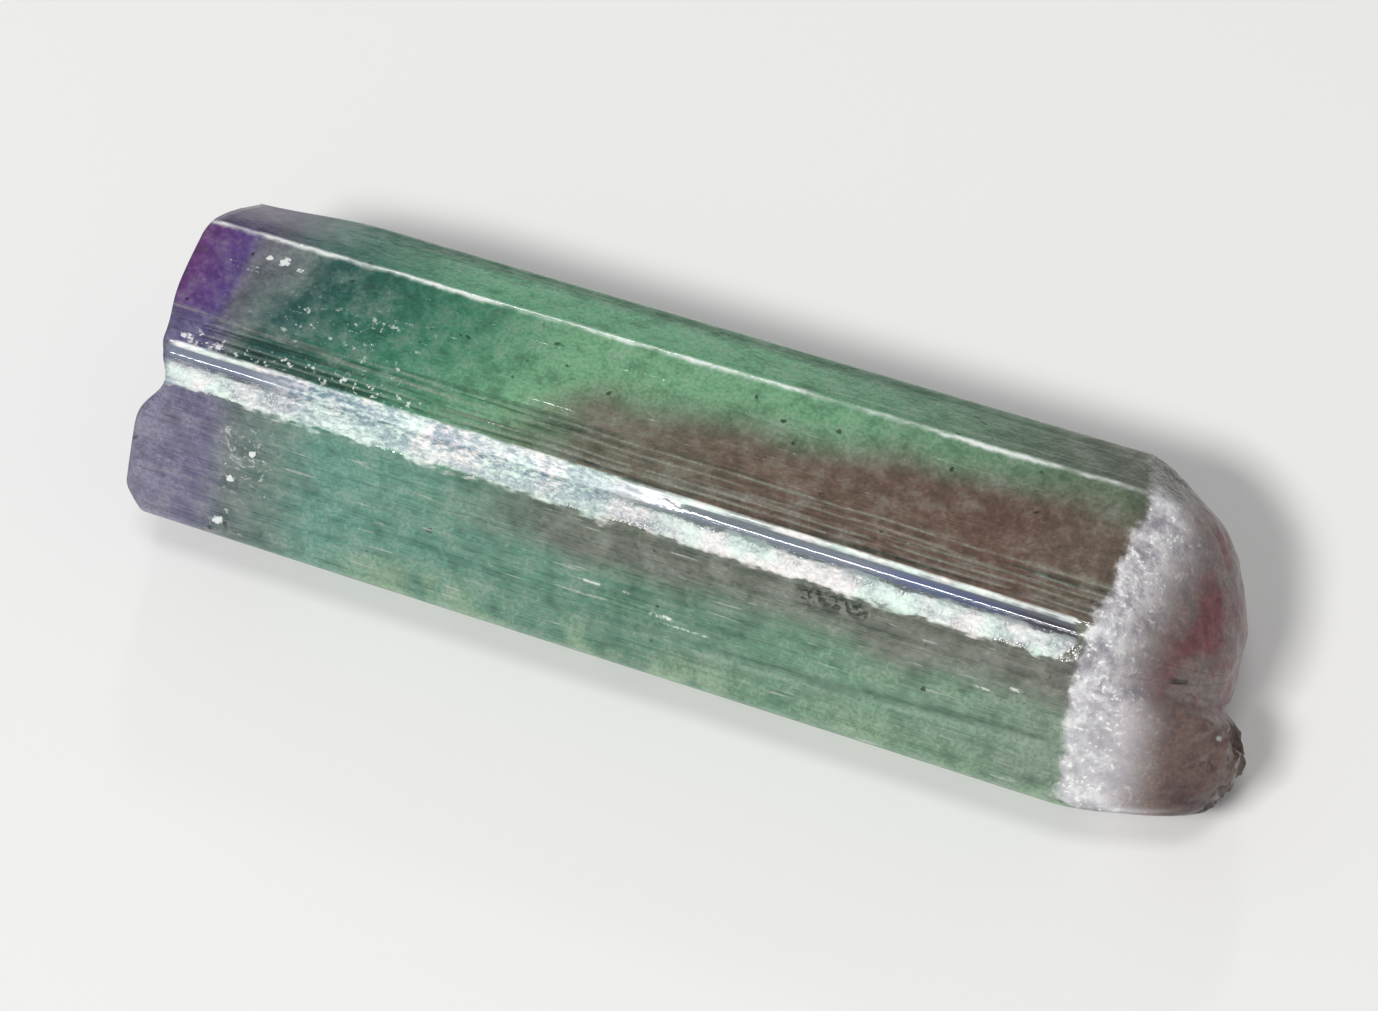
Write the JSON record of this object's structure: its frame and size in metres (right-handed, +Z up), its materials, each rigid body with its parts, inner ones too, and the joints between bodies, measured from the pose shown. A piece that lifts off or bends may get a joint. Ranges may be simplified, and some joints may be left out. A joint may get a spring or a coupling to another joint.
{
  "type": "tourmaline crystal",
  "caption": "Loose bicolour tourmaline prism, green and mauve with a violet end, a worn channel along one edge and a frosted domed tip.",
  "frame": {"origin": "middle of the crystal's box, on the surface that it rests on", "axes": "+X along the crystal's long axis towards its grown tip, +Z up from the resting prism face; the worn channel faces -Y and up"},
  "size_m": [0.0344, 0.0108, 0.0081],
  "materials": {
    "tourmaline": "vitreous and striated along the prism faces, sugary and frosted around the tip; violet, green and mauve zones along its length"
  },
  "bodies": {
    "root": {"tourmaline_crystal": "tourmaline"}
  },
  "joints": []
}
